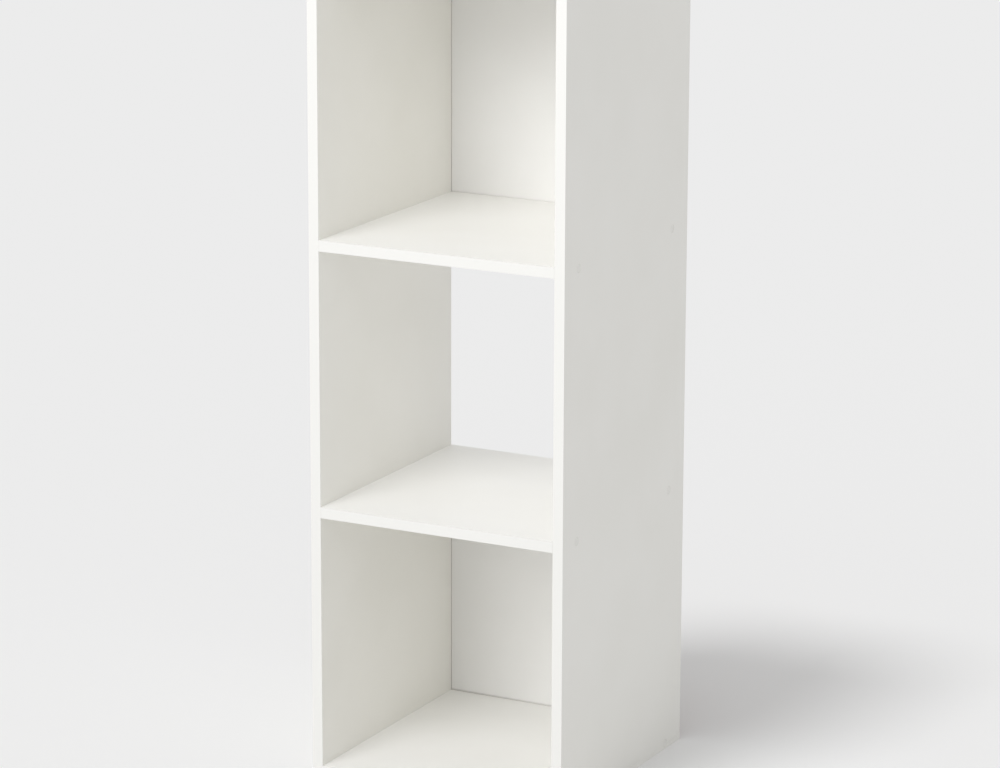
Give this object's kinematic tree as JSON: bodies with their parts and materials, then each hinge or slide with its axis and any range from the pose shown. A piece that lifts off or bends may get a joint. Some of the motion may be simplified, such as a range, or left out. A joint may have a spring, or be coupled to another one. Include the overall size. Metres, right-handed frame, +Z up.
{
  "type": "cube organizer tower",
  "caption": "Narrow open tower shelf with stacked equal cube compartments, thin backs behind the end cubes, and an open middle cube.",
  "frame": {"origin": "on the floor, under the middle of the object's bounding box", "axes": "+Z up, +Y to the back, +X to the right as seen from the open front"},
  "size_m": [0.3, 0.297, 0.882],
  "materials": {
    "laminated_board": "satin",
    "plastic_trim": "satin",
    "hardboard": "satin",
    "zinc_steel": "satin"
  },
  "bodies": {
    "root": {"left_side_panel": "laminated_board", "right_side_panel": "laminated_board", "bottom_panel": "laminated_board", "lower_shelf": "laminated_board", "upper_shelf": "laminated_board", "top_panel": "laminated_board", "left_side_front_band": "plastic_trim", "left_side_top_band": "plastic_trim", "right_side_front_band": "plastic_trim", "right_side_top_band": "plastic_trim", "bottom_panel_front_band": "plastic_trim", "lower_shelf_front_band": "plastic_trim", "upper_shelf_front_band": "plastic_trim", "top_panel_front_band": "plastic_trim", "bottom_panel_screws": "zinc_steel", "lower_shelf_screws": "zinc_steel", "upper_shelf_screws": "zinc_steel", "top_panel_screws": "zinc_steel", "lower_back_panel": "hardboard", "upper_back_panel": "hardboard"}
  },
  "joints": []
}
